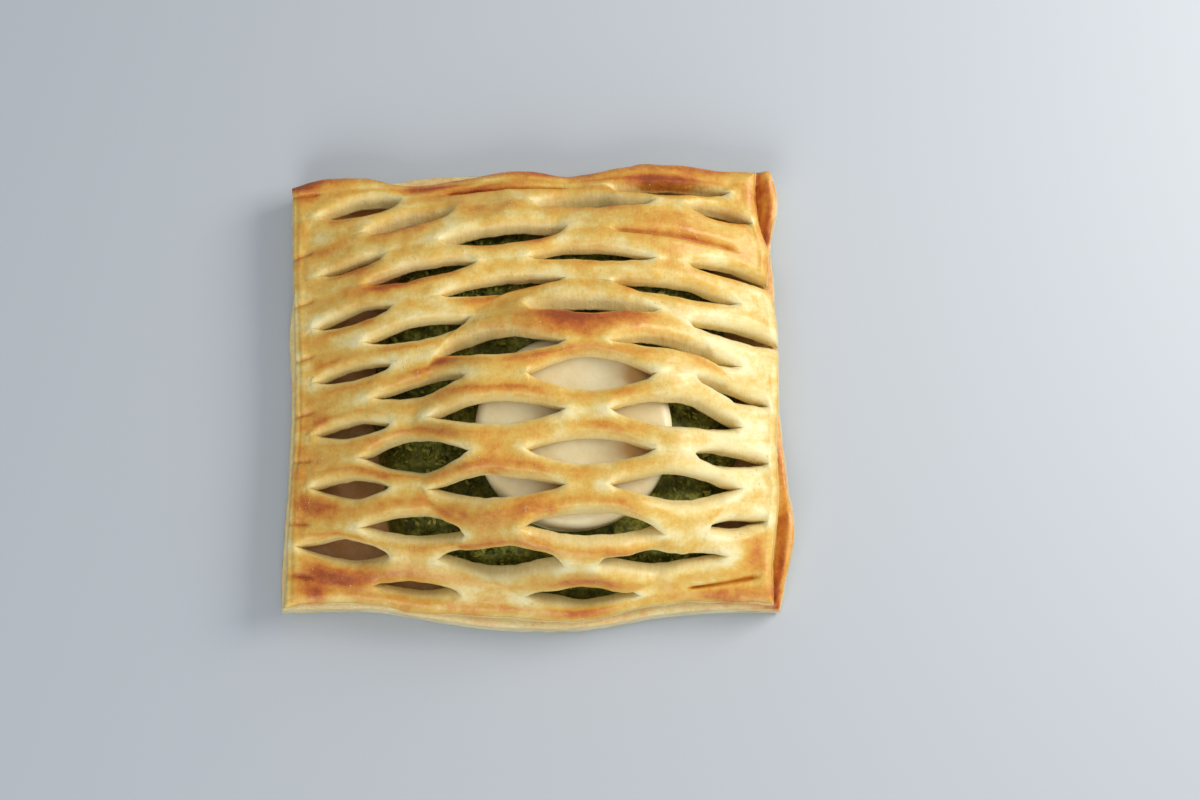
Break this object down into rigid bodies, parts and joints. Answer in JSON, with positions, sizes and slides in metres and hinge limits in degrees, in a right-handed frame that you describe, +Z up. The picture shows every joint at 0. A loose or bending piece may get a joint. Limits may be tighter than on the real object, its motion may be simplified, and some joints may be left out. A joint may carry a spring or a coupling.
{
  "type": "spinach puff pastry",
  "caption": "Square puff pastry with a cut lattice top, pulled open over chopped spinach and a round of white cheese.",
  "frame": {"origin": "bottom centre of the pastry, on the face it rests on", "axes": "+Z up, +X to the right along the lattice cuts, +Y to the back edge"},
  "size_m": [0.1212, 0.1117, 0.0287],
  "materials": {
    "pastry_base": "baked, matte, with thin layers at the sides",
    "pastry_lattice": "baked golden with an egg wash, satin",
    "spinach_filling": "chopped cooked leaves, moist",
    "cheese_round": "soft white cheese, smooth and moist"
  },
  "bodies": {
    "root": {"pastry_base": "pastry_base", "pastry_lattice": "pastry_lattice", "spinach_filling": "spinach_filling", "cheese_round": "cheese_round"}
  },
  "joints": []
}
